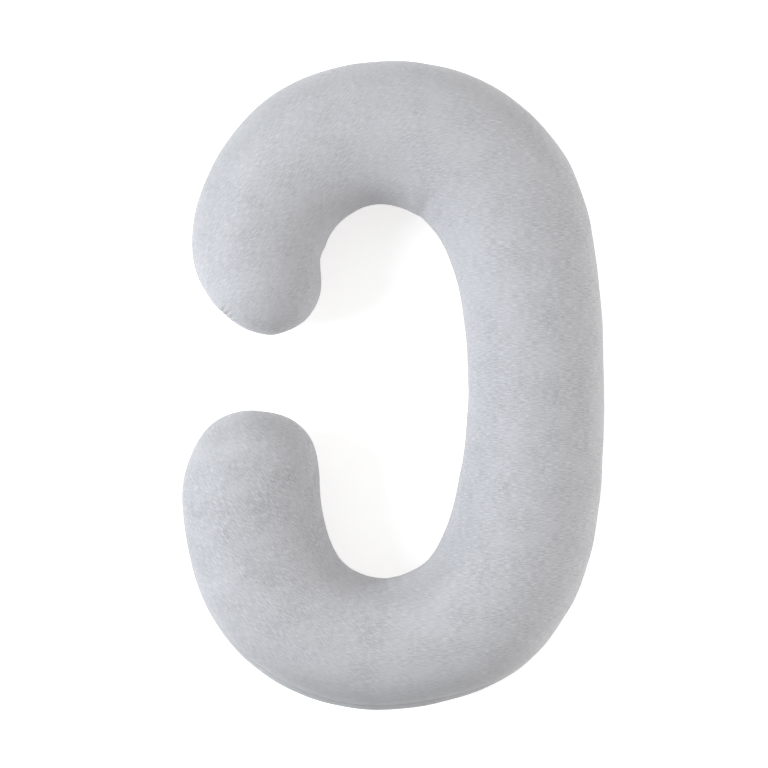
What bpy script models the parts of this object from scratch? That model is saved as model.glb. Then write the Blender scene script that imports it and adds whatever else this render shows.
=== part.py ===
"""C-shaped pregnancy pillow: one stuffed body in a short-pile knit cover, lying on its back.

The body is a long soft roll bent into a C that opens to the left. It was cut as two C-shaped
panels, joined by one seam that runs round the whole edge, so it is lofted here as a maker would
measure it: section after section along the middle of the roll, from the head arm's tip round the
back to the knee arm's tip. Units are metres. +X points to the back of the C, +Y to its head end,
+Z up from the surface that it lies on. The origin is on that surface, under the middle.
"""

import math

import bmesh
import bpy
import numpy as np

# The sections. Each row is the middle of one section, its breadth across the roll and its height.
SECTION_COLUMNS = ("x", "y", "breadth", "height")
SECTIONS = (
    (-0.226, 0.104, 0.264, 0.206),
    (-0.253, 0.188, 0.264, 0.207),
    (-0.270, 0.266, 0.264, 0.208),
    (-0.247, 0.362, 0.272, 0.211),
    (-0.165, 0.460, 0.284, 0.216),
    (-0.029, 0.504, 0.287, 0.218),
    (0.105, 0.477, 0.300, 0.222),
    (0.212, 0.383, 0.300, 0.222),
    (0.266, 0.229, 0.280, 0.216),
    (0.284, 0.061, 0.270, 0.212),
    (0.281, -0.120, 0.274, 0.213),
    (0.251, -0.302, 0.292, 0.219),
    (0.186, -0.434, 0.292, 0.219),
    (0.067, -0.501, 0.269, 0.212),
    (-0.075, -0.510, 0.266, 0.210),
    (-0.204, -0.444, 0.277, 0.212),
    (-0.272, -0.315, 0.282, 0.213),
    (-0.284, -0.180, 0.276, 0.211),
    (-0.276, -0.051, 0.276, 0.208),
)

# How each arm closes: the length over which its outline and its height round off to the tip,
# and how blunt that rounding is (2 is an ellipse, more is squarer). The side of an arm that faces
# into the C stays full for longer than its outer side does.
HEAD_END_LENGTH = 0.220
HEAD_OUTER_BLUNTNESS = 1.90
HEAD_INNER_BLUNTNESS = 2.40
KNEE_END_LENGTH = 0.180
KNEE_OUTER_BLUNTNESS = 2.05
KNEE_INNER_BLUNTNESS = 2.75
END_HEIGHT_LENGTH = 0.125
END_HEIGHT_BLUNTNESS = 2.10

# A section stands square to the run of the roll over this distance either way.
SQUARING_REACH = 0.040

# The shape of a section.
SEAM_HEIGHT = 0.094
SEAM_DEPTH = 0.004
SEAM_HALF_WIDTH = 0.009
CROWN_ROUNDNESS = 2.12
SIDE_ROUNDNESS = 2.25
CONTACT_SHARE = 0.40

# How finely the loft is divided.
SECTION_STEP = 0.024
END_STEPS = 9
CROWN_STEPS = 16
SIDE_STEPS = 6

COVER_COLOUR = (0.56, 0.57, 0.60, 1.0)
COVER_ROUGHNESS = 0.9


def clear_scene():
    for thing in list(bpy.data.objects):
        bpy.data.objects.remove(thing, do_unlink=True)


def cubic_spline(knots, values):
    """A natural cubic spline through the values at the knots, as a function of the distance."""
    gaps = np.diff(knots)
    slopes = np.diff(values) / gaps
    system = np.eye(len(knots))
    target = np.zeros(len(knots))
    for i in range(1, len(knots) - 1):
        system[i, i - 1 : i + 2] = gaps[i - 1], 2 * (gaps[i - 1] + gaps[i]), gaps[i]
        target[i] = 6 * (slopes[i] - slopes[i - 1])
    bend = np.linalg.solve(system, target)

    def value_at(distance):
        i = int(np.clip(np.searchsorted(knots, distance) - 1, 0, len(gaps) - 1))
        before = distance - knots[i]
        after = knots[i + 1] - distance
        curved = (bend[i] * after**3 + bend[i + 1] * before**3) / (6 * gaps[i])
        start = values[i] / gaps[i] - bend[i] * gaps[i] / 6
        finish = values[i + 1] / gaps[i] - bend[i + 1] * gaps[i] / 6
        return float(curved + start * after + finish * before)

    return value_at


class Roll:
    """The middle line of the roll, with the breadth and height of its sections along it."""

    def __init__(self):
        rows = np.array(SECTIONS)
        columns = dict(zip(SECTION_COLUMNS, rows.T))
        steps = np.hypot(np.diff(columns["x"]), np.diff(columns["y"]))
        knots = np.concatenate(([0.0], np.cumsum(steps)))
        self.length = float(knots[-1])
        self.lines = {name: cubic_spline(knots, column) for name, column in columns.items()}

    def centre(self, distance):
        return np.array((self.lines["x"](distance), self.lines["y"](distance)))

    def across(self, distance):
        """The level direction over a section, from the inside of the C to the outside."""
        ahead = self.centre(min(distance + SQUARING_REACH, self.length))
        behind = self.centre(max(distance - SQUARING_REACH, 0.0))
        forward = (ahead - behind) / np.linalg.norm(ahead - behind)
        return np.array((-forward[1], forward[0]))

    def half_breadth(self, distance, head_bluntness, knee_bluntness):
        """From the middle of a section to one side: full along the roll, 0 at either tip."""
        head = rounding(distance, HEAD_END_LENGTH, head_bluntness)
        knee = rounding(self.length - distance, KNEE_END_LENGTH, knee_bluntness)
        return self.lines["breadth"](distance) / 2 * head * knee

    def height_share(self, distance):
        nearest_tip = min(distance, self.length - distance)
        return rounding(nearest_tip, END_HEIGHT_LENGTH, END_HEIGHT_BLUNTNESS)

    def stations(self):
        """Distances of the sections from the head arm's tip, closer together round each tip."""
        angles = np.linspace(0, math.pi / 2, END_STEPS + 1)[1:]
        head = HEAD_END_LENGTH * (1 - np.cos(angles))
        knee = self.length - KNEE_END_LENGTH * (1 - np.cos(angles))
        count = round((knee[-1] - head[-1]) / SECTION_STEP)
        body = np.linspace(head[-1], knee[-1], count + 1)[1:-1]
        return [*head, *body, *knee[::-1]]


def rounding(distance, length, bluntness):
    """A rounded end: 0 at the tip, rising to 1 at the given length from it."""
    left = 1 - min(distance, length) / length
    return (1 - left**bluntness) ** (1 / bluntness)


def quarter_turn(steps, roundness):
    """Points of a rounded corner from (1, 0) to (0, 1), without those two."""
    angles = np.linspace(0, math.pi / 2, steps + 1)[1:-1]
    power = 2 / roundness
    return [(math.cos(a) ** power, math.sin(a) ** power) for a in angles]


def half_section(half_breadth, crown, depth, seam_depth, seam_half_width):
    """One side of a section, from the top of the crown past the seam to the middle underneath.

    Each point is (distance out from the middle, height above the seam)."""
    over = quarter_turn(CROWN_STEPS // 2, CROWN_ROUNDNESS)
    under = quarter_turn(SIDE_STEPS, SIDE_ROUNDNESS)
    flat = half_breadth * CONTACT_SHARE
    rounded = half_breadth - flat
    points = [(0.0, crown)]
    points += [(out * half_breadth, up * crown) for out, up in reversed(over)]
    points += [(half_breadth, seam_half_width)]
    points += [(half_breadth - seam_depth, 0.0)]
    points += [(half_breadth, -seam_half_width)]
    points += [(flat + out * rounded, -down * depth) for out, down in under]
    points += [(flat, -depth), (0.0, -depth)]
    return points


def ring_at(roll, distance):
    """The points round one section, starting on top and going over the outside."""
    height_share = roll.height_share(distance)
    heights = {
        "crown": (roll.lines["height"](distance) - SEAM_HEIGHT) * height_share,
        "depth": SEAM_HEIGHT * height_share,
        "seam_depth": SEAM_DEPTH * height_share,
        "seam_half_width": SEAM_HALF_WIDTH * height_share,
    }
    outer = roll.half_breadth(distance, HEAD_OUTER_BLUNTNESS, KNEE_OUTER_BLUNTNESS)
    inner = roll.half_breadth(distance, HEAD_INNER_BLUNTNESS, KNEE_INNER_BLUNTNESS)
    outer_side = half_section(outer, **heights)
    inner_side = [(-out, up) for out, up in half_section(inner, **heights)[-2:0:-1]]
    centre = roll.centre(distance)
    across = roll.across(distance)
    ring = []
    for out, up in outer_side + inner_side:
        x, y = centre + across * out
        ring.append((x, y, SEAM_HEIGHT + up))
    return ring


def loft_body(roll):
    """The stuffed body as one closed mesh: a ring for each section, and a point at each tip."""
    mesh = bmesh.new()
    rings = [[mesh.verts.new(point) for point in ring_at(roll, at)] for at in roll.stations()]
    for ring, following in zip(rings, rings[1:]):
        for i, corner in enumerate(ring):
            beside = (i + 1) % len(ring)
            mesh.faces.new((corner, following[i], following[beside], ring[beside]))
    for distance, ring in ((0.0, rings[0]), (roll.length, rings[-1])):
        tip = mesh.verts.new((*roll.centre(distance), SEAM_HEIGHT))
        for i, corner in enumerate(ring):
            mesh.faces.new((tip, corner, ring[(i + 1) % len(ring)]))
    bmesh.ops.recalc_face_normals(mesh, faces=mesh.faces)
    return mesh


def centre_over_origin(mesh):
    """Slides the body level until the middle of its box is straight above the origin."""
    points = np.array([vertex.co for vertex in mesh.verts])
    middle_x, middle_y, _ = (points.min(axis=0) + points.max(axis=0)) / 2
    bmesh.ops.translate(mesh, verts=mesh.verts, vec=(-middle_x, -middle_y, 0.0))


def cover_material():
    material = bpy.data.materials.new("grey_pile_knit")
    material.use_nodes = True
    shader = material.node_tree.nodes["Principled BSDF"]
    shader.inputs["Base Color"].default_value = COVER_COLOUR
    shader.inputs["Roughness"].default_value = COVER_ROUGHNESS
    shader.inputs["Metallic"].default_value = 0.0
    return material


def add_object(name, mesh, material, collection):
    data = bpy.data.meshes.new(name)
    mesh.to_mesh(data)
    mesh.free()
    data.materials.append(material)
    data.shade_smooth()
    thing = bpy.data.objects.new(name, data)
    collection.objects.link(thing)
    return thing


def main():
    clear_scene()
    collection = bpy.data.collections.new("pregnancy_pillow")
    bpy.context.scene.collection.children.link(collection)
    body = loft_body(Roll())
    centre_over_origin(body)
    add_object("pillow", body, cover_material(), collection)


main()
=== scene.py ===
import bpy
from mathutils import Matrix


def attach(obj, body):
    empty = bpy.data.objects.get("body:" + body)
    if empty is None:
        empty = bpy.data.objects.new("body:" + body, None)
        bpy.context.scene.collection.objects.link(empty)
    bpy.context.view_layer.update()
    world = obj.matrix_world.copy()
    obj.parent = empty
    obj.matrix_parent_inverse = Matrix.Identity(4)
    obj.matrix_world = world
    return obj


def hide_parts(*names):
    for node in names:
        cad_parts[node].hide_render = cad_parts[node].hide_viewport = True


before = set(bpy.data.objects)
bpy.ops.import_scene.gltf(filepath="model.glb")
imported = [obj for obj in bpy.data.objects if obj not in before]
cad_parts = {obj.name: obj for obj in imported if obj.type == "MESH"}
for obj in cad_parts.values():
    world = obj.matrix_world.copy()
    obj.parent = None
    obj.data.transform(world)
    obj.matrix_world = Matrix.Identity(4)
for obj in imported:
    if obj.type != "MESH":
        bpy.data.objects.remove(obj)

"""The look of the C-shaped pregnancy pillow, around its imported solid.

The cover is two C-shaped panels of a short-pile knit, sewn edge to edge. It is lofted here as the
solid is, section after section along the roll, but finely enough for its seam, the small puckers
along it, the gathers at the head arm's tip and the soft creases inside the bends.
Metres, in the solid's frame: +X towards the back of the C, +Y towards its head end, +Z up.
"""

import math

import bmesh
import bpy
import numpy as np
from mathutils import Vector
from mathutils.kdtree import KDTree

CAD_NODE = "pillow"
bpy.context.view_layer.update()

# The sections. Each row is the middle of one section, its breadth across the roll and its height.
SECTION_COLUMNS = ("x", "y", "breadth", "height")
SECTIONS = (
    (-0.2277, 0.1057, 0.264, 0.206),
    (-0.253, 0.188, 0.264, 0.207),
    (-0.270, 0.266, 0.264, 0.208),
    (-0.247, 0.362, 0.272, 0.211),
    (-0.165, 0.460, 0.284, 0.216),
    (-0.029, 0.504, 0.287, 0.218),
    (0.105, 0.477, 0.300, 0.222),
    (0.212, 0.383, 0.300, 0.222),
    (0.266, 0.229, 0.280, 0.216),
    (0.284, 0.061, 0.270, 0.212),
    (0.281, -0.120, 0.274, 0.213),
    (0.251, -0.302, 0.292, 0.219),
    (0.186, -0.434, 0.292, 0.219),
    (0.067, -0.501, 0.269, 0.212),
    (-0.075, -0.510, 0.266, 0.210),
    (-0.204, -0.444, 0.277, 0.212),
    (-0.272, -0.315, 0.282, 0.213),
    (-0.284, -0.180, 0.276, 0.211),
    (-0.276, -0.051, 0.276, 0.208),
)
# How far the outer seam runs above the widest line at each section, measured over the surface.
OUTER_SEAM_RAISE = (0, 0, 0, 0, 0, 0, 0, 0, 0, 0, 0, 0, 0.012, 0.040, 0.040, 0.036, 0.010, 0, 0)
# How far the solid was slid to bring the middle of its box over the origin.
SLIDE = (0.00113, -0.00092)

# How far the outline is trimmed (less than 0: inwards), by the distance along the roll from the
# head arm's tip, for the outer and for the inner side of the C. It is averaged over its blur
# either way, and dies away towards a tip once the half breadth is less than the fade.
EDGE_TRIM_COLUMNS = ("distance", "outer", "inner")
EDGE_TRIM = (
    (0.000, -0.0035, -0.0005),
    (0.030, 0.0000, -0.0020),
    (0.055, -0.0002, 0.0018),
    (0.080, 0.0015, -0.0042),
    (0.110, 0.0020, -0.0070),
    (0.150, 0.0050, -0.0036),
    (0.195, 0.0018, -0.0014),
    (0.260, 0.0, -0.0025),
    (0.400, 0.0, -0.0018),
    (0.520, -0.0012, -0.0040),
    (0.600, 0.0, -0.0032),
    (0.730, -0.0010, -0.0046),
    (0.840, -0.0005, -0.0010),
    (1.000, 0.0, 0.0003),
    (1.200, -0.0008, 0.0012),
    (1.350, 0.0, 0.0010),
    (1.460, 0.0, -0.0015),
    (1.545, -0.0010, -0.0036),
    (1.620, -0.0062, -0.0022),
    (1.700, -0.0005, -0.0010),
    (1.900, 0.0014, -0.0038),
    (2.050, 0.0, -0.0020),
    (2.160, 0.0, -0.0010),
    (2.240, -0.0028, -0.0018),
    (2.340, 0.0, -0.0032),
    (2.396, -0.0008, -0.0020),
    (2.450, 0.0030, 0.0030),
    (2.485, 0.0045, -0.0010),
    (2.496, 0.0, 0.0),
)
TRIM_BLUR = 0.018
TRIM_BLUR_SAMPLES = 9
TRIM_FADE = 0.040

# How each arm closes: the knee arm as on the solid, and the head arm a little more bluntly.
HEAD_END_LENGTH = 0.220
HEAD_OUTER_BLUNTNESS = 1.955
HEAD_INNER_BLUNTNESS = 2.51
KNEE_END_LENGTH = 0.180
KNEE_OUTER_BLUNTNESS = 2.05
KNEE_INNER_BLUNTNESS = 2.75
END_HEIGHT_LENGTH = 0.125
END_HEIGHT_BLUNTNESS = 2.10
SQUARING_REACH = 0.040

# The shape of a section, as on the solid but for a slightly lower shoulder.
WIDEST_HEIGHT = 0.094
CROWN_ROUNDNESS = 1.98
SIDE_ROUNDNESS = 2.25
CONTACT_SHARE = 0.40

# The mesh. Rings are counted along the roll, and steps round half a section. The rings lie
# closer together beside the gathers, by this gain and within this reach.
RING_COUNT = 545
STEPS_ABOVE_SEAM = 47
STEPS_BELOW_SEAM = 39
SEAM_CROWDING = 1.5
CURVE_SAMPLES = 90
OUTLINE_SAMPLES = 6001
GATHER_RING_GAIN = 1.2
GATHER_RING_REACH = 0.035
BAKE_MARGIN = 0.002
# Less than any length here. It keeps a division from dividing by 0.
TINY = 1e-12

# The seam round the whole edge: its groove, a lip on either side, and the way it is drawn in
# where it runs high.
SEAM_DEPTH = 0.0026
SEAM_WIDTH = 0.0026
SEAM_LIP = 0.0010
SEAM_LIP_AWAY = 0.00624
SEAM_LIP_WIDTH = 0.0060
SEAM_HIGH_EASE = 0.6
SEAM_DRAW = 0.0050
SEAM_DRAW_REACH = 0.020

# The puckers that its stitching draws in, clear of the edge itself. Their depth, from its least
# share up to the whole, and their reach waver more slowly along the seam than they do.
PUCKER_SPACING = 0.013
PUCKER_DEPTH = 0.0010
PUCKER_START = 0.014
PUCKER_REACH = 0.020
PUCKER_LEAST_SHARE = 0.35
PUCKER_REACH_CHANGE = 0.6
PUCKER_DEPTH_SPACING = 0.091
PUCKER_REACH_SPACING = 0.039
WAVER_COUNT = 4096

# The simulation of the stuffed cover, on every second ring and point of the loft. The cloth is cut
# to the form with a little ease, and with more of it along the seam. It starts inside that form and
# swells against its seam. Its folds and puckers are kept up to a limit, and only a share of them at
# the widest edge, but not its slow drift along the roll, which is averaged over this many rings
# either way: the fibre filling keeps the form.
SIM_STRIDE = 2
SIM_FRAMES = 20
SIM_PRESSURE = 4.0
SIM_POINT_MASS = 0.002
SIM_BENDING = 0.1
SIM_QUALITY = 5
SIM_SMOOTHING = (1, 2, 1)
SIM_START_INSIDE = 0.003
SIM_START_REACH = 0.020
SIM_HELD_BELOW = 0.002
SIM_LEAST_WEIGHT = 0.001
SIM_LIMIT = 0.0020
SIM_DRIFT_RINGS = 5
SIM_EDGE_SHARE = 0.35
CLOTH_EASE = 0.004
SEAM_EASE = 0.025
SEAM_EASE_REACH = 0.030

# The stuffing's unevenness: crossing waves of about this size, gone where the pillow rests.
LUMP_SIZE = 0.110
LUMP_HEIGHT = 0.0004
LUMP_WAVES = 14
LUMP_WAVE_SIZES = (0.7, 1.8)
LUMP_FADE_HEIGHT = 0.030

# Soft creases in the upper face. Each starts at a spot and runs along a heading, in degrees from
# +X towards +Y; its length, width and depth are in metres. It widens along its length, has a low
# ridge on either side, and starts a little behind its spot.
CREASE_COLUMNS = ("x", "y", "heading", "length", "width", "depth")
CREASES = (
    (0.064, 0.352, 66, 0.080, 0.011, 0.0026),
    (0.090, 0.338, 62, 0.070, 0.010, 0.0008),
    (-0.012, -0.392, -86, 0.080, 0.010, 0.0009),
    (0.014, -0.392, -72, 0.060, 0.009, 0.0007),
    (-0.144, 0.256, 188, 0.110, 0.016, 0.0022),
    (-0.138, 0.286, 168, 0.070, 0.012, 0.0008),
)
CREASE_LOWEST = 0.074
CREASE_LOWEST_BLUR = 0.008
CREASE_WIDENING = 1.2
CREASE_FADE_POWER = 1.5
CREASE_LEAD = 0.020
CREASE_LEAD_BLUR = 0.004
CREASE_RIDGE_SHARE = 0.35
CREASE_RIDGE_WIDTHS_AWAY = 2.1

# The gathers in the head arm's tip: short folds that fan out from the edge, about 10 mm apart and
# long and short by turns. Each is shallower than the last by the same share, towards the tip.
GATHER_SPOT = (-0.328, 0.139)
GATHER_HEADING = 34
GATHER_FAN = 7
GATHER_SPACING = 0.0105
GATHER_COUNT = 4
GATHER_LENGTHS = (0.0161, 0.0133)
GATHER_WIDTH = 0.00252
GATHER_EASING = 0.15
GATHER_FARTHEST = 0.080
GATHER_HEIGHT = 0.065
GATHER_DEPTH = 0.0028
# How strongly painted shade darkens the gathers' folds, against 1 for the seam's groove.
GATHER_SHADE = 4.5

# The nap. Its strands lie across the back of the C, and slant away from the gap on the two arms.
# The slant turns over softly at the gap, and fades out towards the back of the C.
STRAND_LENGTH = 0.0135
STRAND_WIDTH = 0.0013
NAP_SLANT = 36
NAP_STEP = 18
NAP_GAP_Y = 0.025
NAP_GAP_BLUR = 0.12
NAP_LEFT_X = 0.05
NAP_LEFT_BLUR = 0.06
PATCH_SIZE = 0.055
MOTTLE_SIZE = 0.110
GRAIN_SIZE = 0.0022
STRAND_LAYER_SHIFT = (7.1, 3.3)
WRAP_SHARE = 0.7
LOWER_PANEL_AWAY = 3.0
PILE_DEPTH = 0.0007
NAP_DARK = (0.467, 0.460, 0.475, 1.0)
NAP_LIGHT = (0.595, 0.585, 0.605, 1.0)
# The strands show most on the knee arm, by this much more at the spot and less with the distance.
NAP_STRONG_SPOT = (-0.28, -0.22)
NAP_STRONG_REACH = 0.26
NAP_STRONG_GAIN = 0.70
# They also come and go in patches: their strength in the middle, its change and the least.
PATCH_MIDDLE = 0.9
PATCH_CHANGE = 0.8
PATCH_LEAST = 0.15
# What the strands, the cloudy mottle and the fine grain add to the tone, from dark 0 to light 1.
TONE_MIDDLE = 0.5
TONE_FROM_NAP = 2.05
TONE_FROM_MOTTLE = 0.05
TONE_FROM_GRAIN = 0.22
RELIEF_FROM_GRAIN = 0.25
COVER_SURFACE = {"Roughness": 0.9, "Sheen Weight": 0.15, "Sheen Roughness": 0.45}
# Painted shade in the seam's groove and the gathers' folds: its share where deepest, and its colour.
SEAM_SHADE_SHARE = 0.25
SEAM_SHADE = (0.29, 0.29, 0.30, 1.0)

# Painted shade: the cover is painted darker on slopes that face some ways, standing in for the
# weaker light that falls on them. Each row is the way that a slope faces, in degrees from +X towards
# +Y, the steepness (the sine of its tilt) where the shade starts and where it is full, and its share
# of the colour there, on the inside of the C and its outside.
FACING_COLUMNS = ("heading", "start", "full", "inside", "outside")
PAINTED_FACING_SHADES = (
    (266, 0.60, 0.98, 0.24, 0.06),
    (266, 0.28, 0.85, 0.00, 0.46),
    (270, 0.05, 0.35, 0.00, 0.08),
    (100, 0.05, 0.35, 0.00, 0.09),
    (0, 0.30, 0.80, 0.07, 0.03),
    (48, 0.45, 0.80, 0.16, 0.24),
    (135, 0.40, 0.75, 0.26, 0.24),
    (185, 0.40, 0.90, 0.06, 0.18),
)
FACING_SHARPNESS = 4
# The outside's share starts and is full this far from a tip.
OUTSIDE_FROM_TIP = 0.08
OUTSIDE_FULL_FROM_TIP = 0.26
# The colour of the painted shade on those slopes.
PAINTED_SHADE = (0.20, 0.20, 0.205, 1.0)

# The camera looks straight down. A pixel of the photo is 2 mm at the height of the widest edge.
PHOTO_WIDTH_PIXELS = 768
PIXEL_SIZE = 0.002
CAMERA_HEIGHT = 5.0
CAMERA_AIM = (-0.0184, 0.0023)

# The studio: its own light, which is brighter towards +Y by the slope, and two soft disks of light.
STUDIO_STRENGTH = 0.60
STUDIO_SLOPE = 0.24
LIGHT_AIM = (0.0, 0.0, 0.1)
LIGHT_COLUMNS = ("name", "place", "size", "power", "colour")
LIGHTS = (
    ("key", (-12.0, 0.4, 7.3), 8.0, 1690, (0.86, 0.94, 1.0)),
    ("fill", (13.2, -2.3, 4.2), 6.5, 580, (1.0, 1.0, 0.97)),
)
FLOOR_HALF_SIZE = 12.0
FLOOR_SURFACE = {
    "Base Color": (0.93, 0.93, 0.93, 1.0),
    "Roughness": 1.0,
    "Specular IOR Level": 0.0,
    "Emission Color": (1.0, 0.985, 0.96, 1.0),
    "Emission Strength": 0.46,
}


def cubic_spline(knots, values, distances):
    """A natural cubic spline through the values at the knots, read at the distances."""
    gaps = np.diff(knots)
    slopes = np.diff(values) / gaps
    system = np.eye(len(knots))
    target = np.zeros(len(knots))
    for i in range(1, len(knots) - 1):
        system[i, i - 1 : i + 2] = gaps[i - 1], 2 * (gaps[i - 1] + gaps[i]), gaps[i]
        target[i] = 6 * (slopes[i] - slopes[i - 1])
    bend = np.linalg.solve(system, target)
    at = np.clip(np.searchsorted(knots, distances) - 1, 0, len(gaps) - 1)
    before = distances - knots[at]
    after = knots[at + 1] - distances
    curved = (bend[at] * after**3 + bend[at + 1] * before**3) / (6 * gaps[at])
    start = values[at] / gaps[at] - bend[at] * gaps[at] / 6
    finish = values[at + 1] / gaps[at] - bend[at + 1] * gaps[at] / 6
    return curved + start * after + finish * before


def bell(distances, width):
    """1 at distance 0, a third at the width, and nothing from about twice the width on."""
    return np.exp(-((distances / width) ** 2))


def crossing(values, place, blur):
    """0 well below a place and 1 well above it, with a soft change over the blur."""
    return 1 / (1 + np.exp(-(values - place) / blur))


def eased(values, start, full):
    """0 up to the start and 1 from the full value on, with a smooth rise in between."""
    share = np.clip((values - start) / (full - start), 0, 1)
    return share * share * (3 - 2 * share)


def rounding(distances, length, bluntness):
    """A rounded end: 0 at the tip, rising to 1 at the given length from it."""
    left = 1 - np.minimum(distances, length) / length
    return (1 - left**bluntness) ** (1 / bluntness)


class Roll:
    """The middle line of the roll, with its sections' sizes, read at many distances at once."""

    def __init__(self):
        rows = np.array(SECTIONS)
        self.columns = dict(zip(SECTION_COLUMNS, rows.T))
        self.columns["raise"] = np.array(OUTER_SEAM_RAISE, dtype=float)
        steps = np.hypot(np.diff(self.columns["x"]), np.diff(self.columns["y"]))
        self.knots = np.concatenate(([0.0], np.cumsum(steps)))
        self.length = float(self.knots[-1])

    def line(self, name, distances):
        return cubic_spline(self.knots, self.columns[name], distances)

    def centre(self, distances):
        points = np.stack([self.line("x", distances), self.line("y", distances)], axis=-1)
        return points + np.array(SLIDE)

    def across(self, distances):
        """The level directions over the sections, from the inside of the C to the outside."""
        ahead = self.centre(np.minimum(distances + SQUARING_REACH, self.length))
        behind = self.centre(np.maximum(distances - SQUARING_REACH, 0.0))
        forward = ahead - behind
        forward /= np.linalg.norm(forward, axis=-1, keepdims=True)
        return np.stack([-forward[..., 1], forward[..., 0]], axis=-1)

    def half_breadth(self, distances, head_bluntness, knee_bluntness):
        head = rounding(distances, HEAD_END_LENGTH, head_bluntness)
        knee = rounding(self.length - distances, KNEE_END_LENGTH, knee_bluntness)
        return self.line("breadth", distances) / 2 * head * knee

    def trimmed(self, plain, distances, side):
        """Half breadths with one side's trim, blurred along the roll and gone at either tip."""
        trim = dict(zip(EDGE_TRIM_COLUMNS, np.array(EDGE_TRIM).T))
        spots = distances + TRIM_BLUR * np.linspace(-1, 1, TRIM_BLUR_SAMPLES)[:, None]
        amount = np.interp(spots, trim["distance"], trim[side]).mean(axis=0)
        return plain + amount * np.minimum(plain / TRIM_FADE, 1)

    def outer_breadth(self, distances):
        plain = self.half_breadth(distances, HEAD_OUTER_BLUNTNESS, KNEE_OUTER_BLUNTNESS)
        return self.trimmed(plain, distances, "outer")

    def inner_breadth(self, distances):
        plain = self.half_breadth(distances, HEAD_INNER_BLUNTNESS, KNEE_INNER_BLUNTNESS)
        return self.trimmed(plain, distances, "inner")

    def height_share(self, distances):
        nearest_tip = np.minimum(distances, self.length - distances)
        return rounding(nearest_tip, END_HEIGHT_LENGTH, END_HEIGHT_BLUNTNESS)

    def edge(self, distances, side):
        """The outline as seen from above: side 1 is the outside of the C, side -1 its inside."""
        breadth = self.outer_breadth(distances) if side > 0 else self.inner_breadth(distances)
        return self.centre(distances) + side * self.across(distances) * breadth[:, None]


def ring_stations(roll):
    """Distances along the roll that cut the outline into nearly even steps, finer at the gathers."""
    turn = np.linspace(0, math.pi, OUTLINE_SAMPLES)
    fine = roll.length * (1 - np.cos(turn)) / 2
    travel = np.zeros(len(fine) - 1)
    for side in (1, -1):
        travel += np.linalg.norm(np.diff(roll.edge(fine, side), axis=0), axis=1) / 2
    beside_gathers = np.linalg.norm(roll.edge(fine[1:], 1) - np.array(GATHER_SPOT), axis=1)
    travel *= 1 + GATHER_RING_GAIN * bell(beside_gathers, GATHER_RING_REACH)
    total = np.concatenate(([0.0], np.cumsum(travel)))
    even = np.linspace(0, total[-1], RING_COUNT + 2)[1:-1]
    return np.interp(even, total, fine)


def side_curve(half_breadth, crown, depth):
    """One side of a section: from the crown's top over the widest point to the middle underneath."""
    turn = np.linspace(0, math.pi / 2, CURVE_SAMPLES)
    over_out = half_breadth * np.sin(turn) ** (2 / CROWN_ROUNDNESS)
    over_up = crown * np.cos(turn) ** (2 / CROWN_ROUNDNESS)
    flat = half_breadth * CONTACT_SHARE
    under_out = flat + (half_breadth - flat) * np.cos(turn[1:]) ** (2 / SIDE_ROUNDNESS)
    under_up = -depth * np.sin(turn[1:]) ** (2 / SIDE_ROUNDNESS)
    out = np.concatenate((over_out, under_out, [0.0]))
    up = np.concatenate((over_up, under_up, [-depth]))
    return out, up


def steps_from_seam(count):
    """Shares of the way from the seam, from 0 to 1, crowded together at the seam."""
    even = np.linspace(0, 1, count + 1)
    return even * (1 + SEAM_CROWDING * even) / (1 + SEAM_CROWDING)


def side_points(half_breadth, crown, depth, seam_raise):
    """Points of one side of a section, from the crown's top to the middle underneath.

    With them come their distances over the surface from the crown's top and from that middle."""
    out, up = side_curve(half_breadth, crown, depth)
    run = np.concatenate(([0.0], np.cumsum(np.hypot(np.diff(out), np.diff(up)))))
    seam_run = run[CURVE_SAMPLES - 1] - seam_raise
    above = seam_run * (1 - steps_from_seam(STEPS_ABOVE_SEAM)[::-1])
    below = seam_run + (run[-1] - seam_run) * steps_from_seam(STEPS_BELOW_SEAM)[1:]
    at = np.concatenate((above, below))
    return np.interp(at, run, out), np.interp(at, run, up), at, run[-1] - at


def joined_sides(outer, inner):
    """One value for each point round a section, from those of its outer and its inner side."""
    return np.concatenate((outer, inner[-2:0:-1]))


def loft_points(roll, stations):
    """The points of every ring, shape (rings, points, 3), going from the top over the outside.

    With them come the places of those points on the upper and on the lower panel, laid flat."""
    centre = roll.centre(stations)
    across = roll.across(stations)
    share = roll.height_share(stations)
    crown = (roll.line("height", stations) - WIDEST_HEIGHT) * share
    depth = WIDEST_HEIGHT * share
    outer = roll.outer_breadth(stations)
    inner = roll.inner_breadth(stations)
    raised = np.maximum(roll.line("raise", stations), 0.0)
    rings, upper, lower = [], [], []
    for k in range(len(stations)):
        out_a, up_a, from_top_a, from_base_a = side_points(outer[k], crown[k], depth[k], raised[k])
        out_b, up_b, from_top_b, from_base_b = side_points(inner[k], crown[k], depth[k], 0.0)
        out = joined_sides(out_a, -out_b)
        level = centre[k] + across[k] * out[:, None]
        rings.append(np.column_stack((level, WIDEST_HEIGHT + joined_sides(up_a, up_b))))
        for panel, run_a, run_b in ((upper, from_top_a, from_top_b), (lower, from_base_a, from_base_b)):
            run = joined_sides(run_a, -run_b)
            spread = out + WRAP_SHARE * (run - out)
            panel.append(centre[k] + across[k] * spread[:, None])
    return np.array(rings), np.array(upper), np.array(lower) + LOWER_PANEL_AWAY


def grid_normals(points):
    """Outward unit normals of a grid of points whose second direction closes on itself."""
    along = np.gradient(points, axis=0)
    round_it = np.roll(points, -1, axis=1) - np.roll(points, 1, axis=1)
    normals = np.cross(along, round_it)
    normals /= np.maximum(np.linalg.norm(normals, axis=2, keepdims=True), TINY)
    return normals


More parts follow.
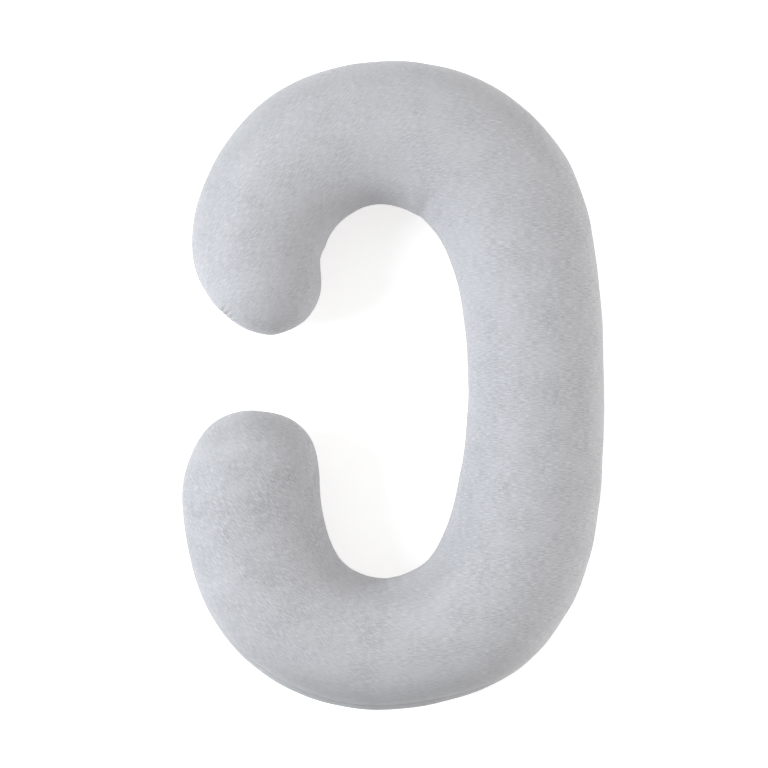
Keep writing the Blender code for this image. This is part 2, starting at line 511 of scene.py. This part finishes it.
def wavering(distance, spacing, seed):
    """Smooth random values between -1 and 1, with a new one every spacing."""
    values = np.random.default_rng(seed).uniform(-1, 1, WAVER_COUNT)
    place = distance / spacing
    start = np.floor(place).astype(int)
    share = eased(place - start, 0, 1)
    before, after = values[start % WAVER_COUNT], values[(start + 1) % WAVER_COUNT]
    return before * (1 - share) + after * share


def lumps(points, size, seed):
    """Smooth bumps of about the given size in space: a few waves that cross at random headings."""
    draw = np.random.default_rng(seed)
    total = np.zeros(points.shape[:2])
    for _ in range(LUMP_WAVES):
        heading = draw.normal(size=3)
        heading /= np.linalg.norm(heading)
        wave = size * draw.uniform(*LUMP_WAVE_SIZES)
        total += np.sin(2 * math.pi * (points @ heading) / wave + draw.uniform(0, 2 * math.pi))
    return total / math.sqrt(LUMP_WAVES / 2)


def seam_distance(points, seam):
    """How far each point is from the seam, and where along the seam the nearest spot lies."""
    steps = np.linalg.norm(np.diff(seam, axis=0), axis=1)
    run = np.concatenate(([0.0], np.cumsum(steps)))
    tree = KDTree(len(seam))
    for i, spot in enumerate(seam):
        tree.insert(spot, i)
    tree.balance()
    away = np.zeros(points.shape[:2])
    place = np.zeros(points.shape[:2])
    for k, ring in enumerate(points):
        for i, point in enumerate(ring):
            _, index, distance = tree.find(point)
            away[k, i] = distance
            place[k, i] = run[index]
    return away, place


def seam_relief(away, place):
    """The seam's groove with a lip on either side, and the puckers that run out from it."""
    groove = -SEAM_DEPTH * bell(away, SEAM_WIDTH)
    lips = SEAM_LIP * bell(away - SEAM_LIP_AWAY, SEAM_LIP_WIDTH)
    change = np.abs(wavering(place, PUCKER_DEPTH_SPACING, seed=3))
    depth = PUCKER_DEPTH * (PUCKER_LEAST_SHARE + (1 - PUCKER_LEAST_SHARE) * change)
    change = wavering(place, PUCKER_REACH_SPACING, seed=5)
    reach = PUCKER_REACH * (1 + PUCKER_REACH_CHANGE * change)
    fade = np.exp(-away / reach) * (1 - bell(away, PUCKER_START))
    puckers = depth * wavering(place, PUCKER_SPACING, seed=7) * fade
    return groove + lips + puckers


def turned(points, spot, heading):
    """Level positions measured from a spot: how far along the heading, and how far to its left."""
    angle = math.radians(heading)
    level = points[..., :2] - np.array(spot)
    along = level[..., 0] * math.cos(angle) + level[..., 1] * math.sin(angle)
    beside = -level[..., 0] * math.sin(angle) + level[..., 1] * math.cos(angle)
    return along, beside


def crease_relief(points):
    """Soft valleys in the upper face, deepest where they start at the edge."""
    relief = np.zeros(points.shape[:2])
    upper = crossing(points[..., 2], CREASE_LOWEST, CREASE_LOWEST_BLUR)
    for row in CREASES:
        crease = dict(zip(CREASE_COLUMNS, row))
        along, beside = turned(points, (crease["x"], crease["y"]), crease["heading"])
        share = np.clip(along / crease["length"], 0, 1)
        width = crease["width"] * (1 + CREASE_WIDENING * share)
        begun = crossing(along, -CREASE_LEAD, CREASE_LEAD_BLUR)
        from_ridge = np.abs(beside) - CREASE_RIDGE_WIDTHS_AWAY * width
        form = bell(beside, width) - CREASE_RIDGE_SHARE * bell(from_ridge, width)
        relief -= crease["depth"] * begun * (1 - share) ** CREASE_FADE_POWER * form * upper
    return relief


def gather_relief(points):
    """A few short folds side by side where the cover is gathered into the head arm's tip."""
    relief = np.zeros(points.shape[:2])
    for i in range(GATHER_COUNT):
        from_middle = i - (GATHER_COUNT - 1) / 2
        heading = GATHER_HEADING + GATHER_FAN * from_middle
        along, beside = turned(points, GATHER_SPOT, heading)
        length = GATHER_LENGTHS[i % len(GATHER_LENGTHS)]
        fade = bell(np.maximum(along, 0), length) * (np.abs(along) < GATHER_FARTHEST)
        valley = bell(beside - from_middle * GATHER_SPACING, GATHER_WIDTH)
        depth = GATHER_DEPTH * (1 - GATHER_EASING * (GATHER_COUNT - 1 - i))
        relief -= depth * fade * valley
    return relief * bell(points[..., 2] - WIDEST_HEIGHT, GATHER_HEIGHT)


def seam_line(points, tips):
    """The seam as one closed line: out along the outside of the C and back along its inside."""
    outer = points[:, STEPS_ABOVE_SEAM]
    inner = points[:, -STEPS_ABOVE_SEAM]
    return np.concatenate((tips[:1], outer, tips[1:], inner[::-1]))


def point_group(thing, name, values):
    """A vertex group of a grid's object, weighted by values of the grid."""
    weights = with_tips(values[..., None])[:, 0]
    group = thing.vertex_groups.new(name=name)
    for index in np.flatnonzero(weights > SIM_LEAST_WEIGHT):
        group.add([int(index)], float(weights[index]), "REPLACE")


def stuffed(points, tips):
    """The loft's points after its cover, with ease along the seam, is blown up as cloth."""
    rings = np.arange(0, len(points), SIM_STRIDE)
    steps = np.arange(0, points.shape[1], SIM_STRIDE)
    form = points[np.ix_(rings, steps)]
    normals = grid_normals(form)
    away, _ = seam_distance(form, seam_line(points, tips))
    seam_steps = [STEPS_ABOVE_SEAM, points.shape[1] - STEPS_ABOVE_SEAM]
    beside_seam = np.isin(steps, seam_steps) | np.isin(steps + 1, seam_steps)
    held = np.broadcast_to(beside_seam, away.shape) | (form[..., 2] < SIM_HELD_BELOW)
    inside = SIM_START_INSIDE * (1 - bell(away, SIM_START_REACH))
    start = form - normals * np.where(held, 0.0, inside)[..., None]
    end_tips = np.array([start[0].mean(axis=0), start[-1].mean(axis=0)])
    mesh = closed_mesh("cloth", start, end_tips)
    cloth = bpy.data.objects.new("cloth", mesh)
    bpy.context.scene.collection.objects.link(cloth)
    point_group(cloth, "held", held.astype(float))
    point_group(cloth, "ease", bell(away, SEAM_EASE_REACH))
    cloth.shape_key_add(name="start")
    cut = cloth.shape_key_add(name="cut")
    cut.data.foreach_set("co", np.concatenate((form.reshape(-1, 3), end_tips)).ravel())
    settings = cloth.modifiers.new("Cloth", "CLOTH").settings
    settings.vertex_group_mass = "held"
    settings.rest_shape_key = cut
    settings.vertex_group_shrink = "ease"
    settings.shrink_min = -CLOTH_EASE
    settings.shrink_max = -SEAM_EASE
    settings.mass = SIM_POINT_MASS
    settings.bending_stiffness = SIM_BENDING
    settings.use_pressure = True
    settings.uniform_pressure_force = SIM_PRESSURE
    settings.effector_weights.gravity = 0.0
    settings.quality = SIM_QUALITY
    scene = bpy.context.scene
    for frame_number in range(1, SIM_FRAMES + 1):
        scene.frame_set(frame_number)
    made = cloth.evaluated_get(bpy.context.evaluated_depsgraph_get()).data
    ended = np.empty(len(made.vertices) * 3)
    made.vertices.foreach_get("co", ended)
    ended = ended.reshape(-1, 3)[: form.size // 3].reshape(form.shape)
    scene.frame_set(1)
    bpy.data.objects.remove(cloth, do_unlink=True)
    bpy.data.meshes.remove(mesh)
    moved = ring_average(ended - form, SIM_SMOOTHING)
    moved -= ring_average(moved, (1,) * (2 * SIM_DRIFT_RINGS + 1))
    length = np.linalg.norm(moved, axis=2, keepdims=True)
    moved *= np.minimum(1.0, SIM_LIMIT / np.maximum(length, TINY))
    moved *= SIM_EDGE_SHARE + (1 - SIM_EDGE_SHARE) * np.abs(normals[..., 2:])
    return points + spread_evenly(moved, rings, steps, points.shape[:2])


def ring_average(values, weights):
    """Each ring's values averaged with those of the rings beside it, by the given weights."""
    reach = len(weights) // 2
    padded = np.pad(values, ((reach, reach), (0, 0), (0, 0)), mode="edge")
    rows = len(values)
    total = sum(weight * padded[i : i + rows] for i, weight in enumerate(weights))
    return total / sum(weights)


def spread_evenly(coarse, rings, steps, shape):
    """Values on some rings and points, read between them for all the rings and points."""
    full = np.empty((len(rings), shape[1], 3))
    turn = np.arange(shape[1])
    for k in range(len(rings)):
        for axis in range(3):
            full[k, :, axis] = np.interp(turn, steps, coarse[k, :, axis], period=shape[1])
    place = np.arange(shape[0])
    whole = np.empty((*shape, 3))
    for i in range(shape[1]):
        for axis in range(3):
            whole[:, i, axis] = np.interp(place, rings, full[:, i, axis])
    return whole


def relieved(points, tips, seam_high):
    """The loft's points pushed along their normals by everything that breaks its smoothness.

    With them comes how much painted shade darkens the cover at each point, in the seam's groove and in
    the gathers' folds."""
    normals = grid_normals(points)
    away, place = seam_distance(points, seam_line(points, tips))
    off_floor = np.clip(points[..., 2] / LUMP_FADE_HEIGHT, 0, 1)
    relief = seam_relief(away, place) * (1 - SEAM_HIGH_EASE * seam_high)
    gathers = gather_relief(points)
    relief += crease_relief(points) + gathers
    relief -= SEAM_DRAW * seam_high * bell(away, SEAM_DRAW_REACH)
    relief += LUMP_HEIGHT * lumps(points, LUMP_SIZE, seed=11) * off_floor
    moved = points + normals * relief[..., None]
    moved[..., 2] = np.maximum(moved[..., 2], 0.0)
    # Painted shade: the seam's groove and the gathers' folds are painted darker, as if shaded.
    groove_shade = np.maximum(bell(away, SEAM_WIDTH), -GATHER_SHADE * gathers / GATHER_DEPTH)
    return moved, groove_shade


def grid_faces(rings, count):
    """Corner indices of the quads between the rings, and of the fan of triangles at each tip."""
    here = np.arange(rings * count).reshape(rings, count)
    beside = np.roll(here, -1, axis=1)
    quads = np.stack((here[:-1], here[1:], beside[1:], beside[:-1]), axis=-1).reshape(-1, 4)
    tips = np.full(count, rings * count)
    head = np.stack((tips, here[0], beside[0]), axis=-1)
    knee = np.stack((tips + 1, beside[-1], here[-1]), axis=-1)
    return quads, head, knee


def closed_mesh(name, points, tips):
    """A mesh of quads between the rings, closed with a fan at each tip."""
    corners = np.concatenate((points.reshape(-1, 3), tips))
    faces = [part.tolist() for part in grid_faces(*points.shape[:2])]
    mesh = bpy.data.meshes.new(name)
    mesh.from_pydata(corners.tolist(), [], sum(faces, []))
    mesh.shade_smooth()
    return mesh


def with_tips(values):
    """Values of a grid of points as one row for each vertex, its two tips last."""
    flat = values.reshape(-1, *values.shape[2:])
    return np.concatenate((flat, values[:1].mean(axis=1), values[-1:].mean(axis=1)))


def set_point_values(mesh, name, values):
    layer = mesh.attributes.new(name, "FLOAT", "POINT")
    layer.data.foreach_set("value", with_tips(values).astype(np.float32))


def set_panel_places(mesh, name, upper, lower):
    """Gives each face corner its place on the flat panel that its face was cut from."""
    rings, count = upper.shape[:2]
    column = np.arange(count)
    on_upper = (column < STEPS_ABOVE_SEAM) | (column >= count - STEPS_ABOVE_SEAM)
    upper, lower = with_tips(upper), with_tips(lower)
    places = []
    for part in grid_faces(rings, count):
        is_upper = np.tile(on_upper, len(part) // count)[:, None, None]
        places.append(np.where(is_upper, upper[part], lower[part]).reshape(-1, 2))
    places = np.concatenate(places)
    places = np.column_stack((places, np.zeros(len(places))))
    layer = mesh.attributes.new(name, "FLOAT_VECTOR", "CORNER")
    layer.data.foreach_set("vector", places.astype(np.float32).ravel())


def set_bake_places(mesh, rings, count):
    """Lays the cover out over the unit square for baking, cut open along the middle underneath.

    The corners come in the order of grid_faces."""
    turn = (np.arange(count) + count // 2) % count / count
    middle, next_turn = turn + 0.5 / count, turn + 1 / count
    ring = np.arange(1, rings)[:, None] / (rings + 1)
    next_ring = ring + 1 / (rings + 1)
    first, last = 1 / (rings + 1), rings / (rings + 1)
    parts = (
        ((ring, turn), (next_ring, turn), (next_ring, next_turn), (ring, next_turn)),
        ((0.0, middle), (first, turn), (first, next_turn)),
        ((1.0, middle), (last, next_turn), (last, turn)),
    )
    places = []
    for part in parts:
        corners = [np.stack(np.broadcast_arrays(*corner), axis=-1) for corner in part]
        places.append(np.stack(corners, axis=-2).reshape(-1, 2))
    places = BAKE_MARGIN + (1 - 2 * BAKE_MARGIN) * np.concatenate(places)
    layer = mesh.uv_layers.new(name="OFBake")
    layer.data.foreach_set("uv", places.astype(np.float32).ravel())


def nap_slant(points):
    """The nap's slant in degrees: level on the back of the C, up or down on the two arms."""
    side = np.tanh((points[..., 1] - NAP_GAP_Y) / NAP_GAP_BLUR)
    left = 1 - crossing(points[..., 0], NAP_LEFT_X * side, NAP_LEFT_BLUR)
    return NAP_SLANT * left * side


def painted_facing_shade(normals, outside):
    """How much painted shade darkens the cover, from 0 to 1, on slopes that face some ways."""
    shade = np.zeros(normals.shape[:2])
    steepness = np.linalg.norm(normals[..., :2], axis=2)
    for row in PAINTED_FACING_SHADES:
        facing = dict(zip(FACING_COLUMNS, row))
        angle = math.radians(facing["heading"])
        toward = normals[..., 0] * math.cos(angle) + normals[..., 1] * math.sin(angle)
        toward = np.clip(toward / np.maximum(steepness, TINY), 0, 1) ** FACING_SHARPNESS
        amount = facing["inside"] + (facing["outside"] - facing["inside"]) * outside
        shade += amount * toward * eased(steepness, facing["start"], facing["full"])
    return shade


def nap_gain(points):
    """How strong the nap's strands are: most on the knee arm."""
    from_spot = np.linalg.norm(points[..., :2] - np.array(NAP_STRONG_SPOT), axis=2)
    return 1 + NAP_STRONG_GAIN * bell(from_spot, NAP_STRONG_REACH)


def make_pillow():
    """The cover as one closed mesh, with the values that its material reads."""
    roll = Roll()
    stations = ring_stations(roll)
    points, upper, lower = loft_points(roll, stations)
    ends = roll.centre(np.array([0.0, roll.length]))
    tips = np.column_stack((ends, [WIDEST_HEIGHT, WIDEST_HEIGHT]))
    points = stuffed(points, tips)
    on_outside = np.arange(points.shape[1]) <= STEPS_ABOVE_SEAM + STEPS_BELOW_SEAM
    nearest_tip = np.minimum(stations, roll.length - stations)
    off_tips = eased(nearest_tip, OUTSIDE_FROM_TIP, OUTSIDE_FULL_FROM_TIP)
    # Painted shade on slopes that face some ways, standing in for the light there; more of it on the
    # outside of the C, away from the tips.
    facing = painted_facing_shade(grid_normals(points), off_tips[:, None] * on_outside)
    seam_high = np.maximum(roll.line("raise", stations), 0.0) / max(OUTER_SEAM_RAISE)
    points, groove_shade = relieved(points, tips, seam_high[:, None] * on_outside)
    tips = np.array([points[0].mean(axis=0), points[-1].mean(axis=0)])
    mesh = closed_mesh("pillow_cover", points, tips)
    set_panel_places(mesh, "panel_place", upper, lower)
    set_bake_places(mesh, *points.shape[:2])
    set_point_values(mesh, "nap_slant", nap_slant(points) / NAP_STEP)
    # The painted shade in the seam's groove and the gathers' folds, for the material to read.
    set_point_values(mesh, "painted_groove_shade", groove_shade)
    # The painted shade on slopes, for the material to read.
    set_point_values(mesh, "painted_facing_shade", facing)
    set_point_values(mesh, "nap_gain", nap_gain(points))
    pillow = bpy.data.objects.new("pillow_cover", mesh)
    bpy.context.scene.collection.objects.link(pillow)
    return pillow


class Shading:
    """Short calls that add nodes to a material and join them."""

    def __init__(self, name):
        self.material = bpy.data.materials.new(name)
        self.material.use_nodes = True
        self.tree = self.material.node_tree
        self.shader = self.tree.nodes["Principled BSDF"]

    def add(self, kind, inputs, output=0, **settings):
        node = self.tree.nodes.new("ShaderNode" + kind)
        for name, value in settings.items():
            setattr(node, name, value)
        for name, value in inputs.items():
            self.put(node.inputs[name], value)
        return node.outputs[output]

    def put(self, socket, value):
        if isinstance(value, bpy.types.NodeSocket):
            self.tree.links.new(value, socket)
        else:
            socket.default_value = value

    def math(self, operation, *values):
        return self.add("Math", dict(enumerate(values)), operation=operation)

    def mix(self, share, colour, other):
        inputs = {"Factor": share, "A": colour, "B": other}
        return self.add("Mix", inputs, "Result", data_type="RGBA")

    def noise(self, place, size, detail=1.0, dimensions="3D"):
        """Soft noise around 0, about -0.5 to 0.5, with features of the given size."""
        inputs = {"Vector": place, "Scale": 1 / size, "Detail": detail}
        factor = self.add("TexNoise", inputs, noise_dimensions=dimensions)
        return self.math("MULTIPLY", self.math("SUBTRACT", factor, 0.5), 2.0)


def strands(shading):
    """The nap's strands: noise drawn out at a few fixed headings, mixed by the nap's slant."""
    place = shading.add("Attribute", {}, "Vector", attribute_name="panel_place")
    slant = shading.add("Attribute", {}, "Fac", attribute_name="nap_slant")
    total = 0.0
    turns = round(NAP_SLANT / NAP_STEP)
    shift_x, shift_y = STRAND_LAYER_SHIFT
    for turn in range(-turns, turns + 1):
        laid = shading.add(
            "Mapping",
            {
                "Vector": place,
                "Location": (shift_x * turn, shift_y * turn, 0.0),
                "Rotation": (0.0, 0.0, math.radians(NAP_STEP * turn)),
                "Scale": (STRAND_LENGTH, STRAND_WIDTH, 1.0),
            },
            vector_type="TEXTURE",
        )
        off = shading.math("ABSOLUTE", shading.math("SUBTRACT", slant, float(turn)))
        share = shading.math("MAXIMUM", shading.math("SUBTRACT", 1.0, off), 0.0)
        grain = shading.noise(laid, 1.0, detail=2.0, dimensions="2D")
        total = shading.math("MULTIPLY_ADD", grain, share, total)
    return total


def cover_material():
    shading = Shading("grey_pile_knit")
    place = shading.add("TexCoord", {}, "Object")
    # Where the seam's groove and the gathers' folds get painted shade.
    seam = shading.add("Attribute", {}, "Fac", attribute_name="painted_groove_shade")
    patch = shading.noise(place, PATCH_SIZE)
    patch = shading.math("MULTIPLY_ADD", patch, PATCH_CHANGE, PATCH_MIDDLE)
    patch = shading.math("MAXIMUM", patch, PATCH_LEAST)
    gain = shading.add("Attribute", {}, "Fac", attribute_name="nap_gain")
    nap = shading.math("MULTIPLY", strands(shading), shading.math("MULTIPLY", patch, gain))
    mottle = shading.noise(place, MOTTLE_SIZE, detail=2.0)
    grain = shading.noise(place, GRAIN_SIZE)
    tone = shading.math("MULTIPLY_ADD", nap, TONE_FROM_NAP, TONE_MIDDLE)
    tone = shading.math("MULTIPLY_ADD", mottle, TONE_FROM_MOTTLE, tone)
    tone = shading.math("MULTIPLY_ADD", grain, TONE_FROM_GRAIN, tone)
    colour = shading.mix(tone, NAP_DARK, NAP_LIGHT)
    # Painted shade: the colour is darkened on slopes that face some ways, standing in for the weaker
    # light there.
    facing = shading.add("Attribute", {}, "Fac", attribute_name="painted_facing_shade")
    colour = shading.mix(facing, colour, PAINTED_SHADE)
    # Painted shade: the colour is darkened in the seam's groove and the gathers' folds, as if shaded.
    groove_shade_share = shading.math("MULTIPLY", seam, SEAM_SHADE_SHARE)
    colour = shading.mix(groove_shade_share, colour, SEAM_SHADE)
    shading.put(shading.shader.inputs["Base Color"], colour)
    height = shading.math("MULTIPLY_ADD", grain, RELIEF_FROM_GRAIN, nap)
    bump = shading.add("Bump", {"Height": height, "Distance": PILE_DEPTH, "Strength": 1.0})
    shading.put(shading.shader.inputs["Normal"], bump)
    for name, value in COVER_SURFACE.items():
        shading.put(shading.shader.inputs[name], value)
    return shading.material


def floor_material():
    shading = Shading("pale_floor")
    for name, value in FLOOR_SURFACE.items():
        shading.put(shading.shader.inputs[name], value)
    return shading.material


def make_floor():
    mesh = bmesh.new()
    bmesh.ops.create_grid(mesh, x_segments=1, y_segments=1, size=FLOOR_HALF_SIZE)
    data = bpy.data.meshes.new("floor")
    mesh.to_mesh(data)
    mesh.free()
    data.materials.append(floor_material())
    floor = bpy.data.objects.new("floor", data)
    bpy.context.scene.collection.objects.link(floor)


def make_light(name, place, size, power, colour):
    data = bpy.data.lights.new(name, "AREA")
    data.shape = "DISK"
    data.size = size
    data.energy = power
    data.color = colour
    light = bpy.data.objects.new(name, data)
    light.location = place
    towards = Vector(LIGHT_AIM) - Vector(place)
    light.rotation_euler = towards.to_track_quat("-Z", "Y").to_euler()
    bpy.context.scene.collection.objects.link(light)


def make_world():
    """A pale studio, a little brighter towards the pillow's head end than towards its foot."""
    world = bpy.data.worlds.new("studio")
    world.use_nodes = True
    tree = world.node_tree
    direction = tree.nodes.new("ShaderNodeTexCoord")
    parts = tree.nodes.new("ShaderNodeSeparateXYZ")
    strength = tree.nodes.new("ShaderNodeMath")
    strength.operation = "MULTIPLY_ADD"
    strength.inputs[1].default_value = STUDIO_SLOPE
    strength.inputs[2].default_value = STUDIO_STRENGTH
    background = tree.nodes["Background"]
    background.inputs["Color"].default_value = (1.0, 1.0, 1.0, 1.0)
    tree.links.new(direction.outputs["Generated"], parts.inputs["Vector"])
    tree.links.new(parts.outputs["Y"], strength.inputs[0])
    tree.links.new(strength.outputs["Value"], background.inputs["Strength"])
    bpy.context.scene.world = world


def make_camera():
    data = bpy.data.cameras.new("camera")
    distance = CAMERA_HEIGHT - WIDEST_HEIGHT
    data.lens = data.sensor_width * distance / (PHOTO_WIDTH_PIXELS * PIXEL_SIZE)
    camera = bpy.data.objects.new("camera", data)
    camera.location = (*CAMERA_AIM, CAMERA_HEIGHT)
    bpy.context.scene.collection.objects.link(camera)
    bpy.context.scene.camera = camera


pillow = make_pillow()
pillow.data.materials.append(cover_material())
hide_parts(CAD_NODE)
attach(pillow, "root")

make_floor()
for row in LIGHTS:
    make_light(**dict(zip(LIGHT_COLUMNS, row)))
make_world()
make_camera()
bpy.context.scene.view_settings.view_transform = "Standard"
